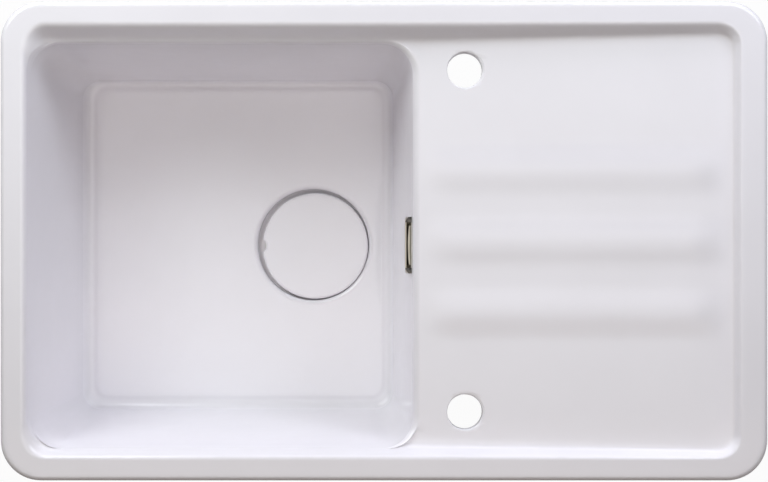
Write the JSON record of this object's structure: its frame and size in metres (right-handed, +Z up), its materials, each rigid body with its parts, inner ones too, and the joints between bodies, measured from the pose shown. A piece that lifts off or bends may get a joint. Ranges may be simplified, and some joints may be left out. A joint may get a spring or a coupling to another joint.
{
  "type": "kitchen sink",
  "caption": "Inset fireclay kitchen sink with a deep bowl, a ridged drainer, tap holes, a basket waste under a loose cover and an overflow piped into the waste.",
  "frame": {"origin": "centre of the rim in plan, on the worktop plane: the flat seat under the rim lies at z = 0", "axes": "+X along the sink from the bowl to the drainer, +Y to the back, +Z up out of the worktop"},
  "size_m": [0.8, 0.5, 0.2885],
  "materials": {
    "glazed_fireclay": "glossy",
    "waste_steel": "satin",
    "polished_steel": "polished",
    "trim_metal": "satin",
    "brass": "satin",
    "seal_rubber": "matt",
    "clear_seal": "matt",
    "pipe_plastic": "matt",
    "knob_plastic": "glossy"
  },
  "bodies": {
    "root": {"basin": "glazed_fireclay", "strainer_flange": "waste_steel", "flange_gasket": "seal_rubber", "lower_gasket": "seal_rubber", "waste_body": "pipe_plastic", "clamp_screw": "polished_steel", "screw_insert": "brass", "overflow_front": "trim_metal", "overflow_frame": "trim_metal", "overflow_baffle": "trim_metal", "overflow_seal": "clear_seal", "overflow_gasket": "seal_rubber", "overflow_elbow": "pipe_plastic", "overflow_screws": "polished_steel", "overflow_hose": "pipe_plastic", "upper_hose_nut": "pipe_plastic", "upper_hose_washer": "seal_rubber", "lower_hose_nut": "pipe_plastic", "lower_hose_washer": "seal_rubber"},
    "basket": {"basket": "polished_steel", "basket_seal": "seal_rubber", "basket_knob": "knob_plastic"},
    "cover": {"waste_cover": "glazed_fireclay", "cover_feet": "seal_rubber"}
  },
  "joints": [
    {"name": "basket_lift", "type": "slide", "parent": "root", "child": "basket", "axis": [0, 0, 1], "range_m": [0, 0.25]},
    {"name": "cover_lift", "type": "slide", "parent": "basket", "child": "cover", "axis": [0, 0, 1], "range_m": [0, 0.22]}
  ]
}
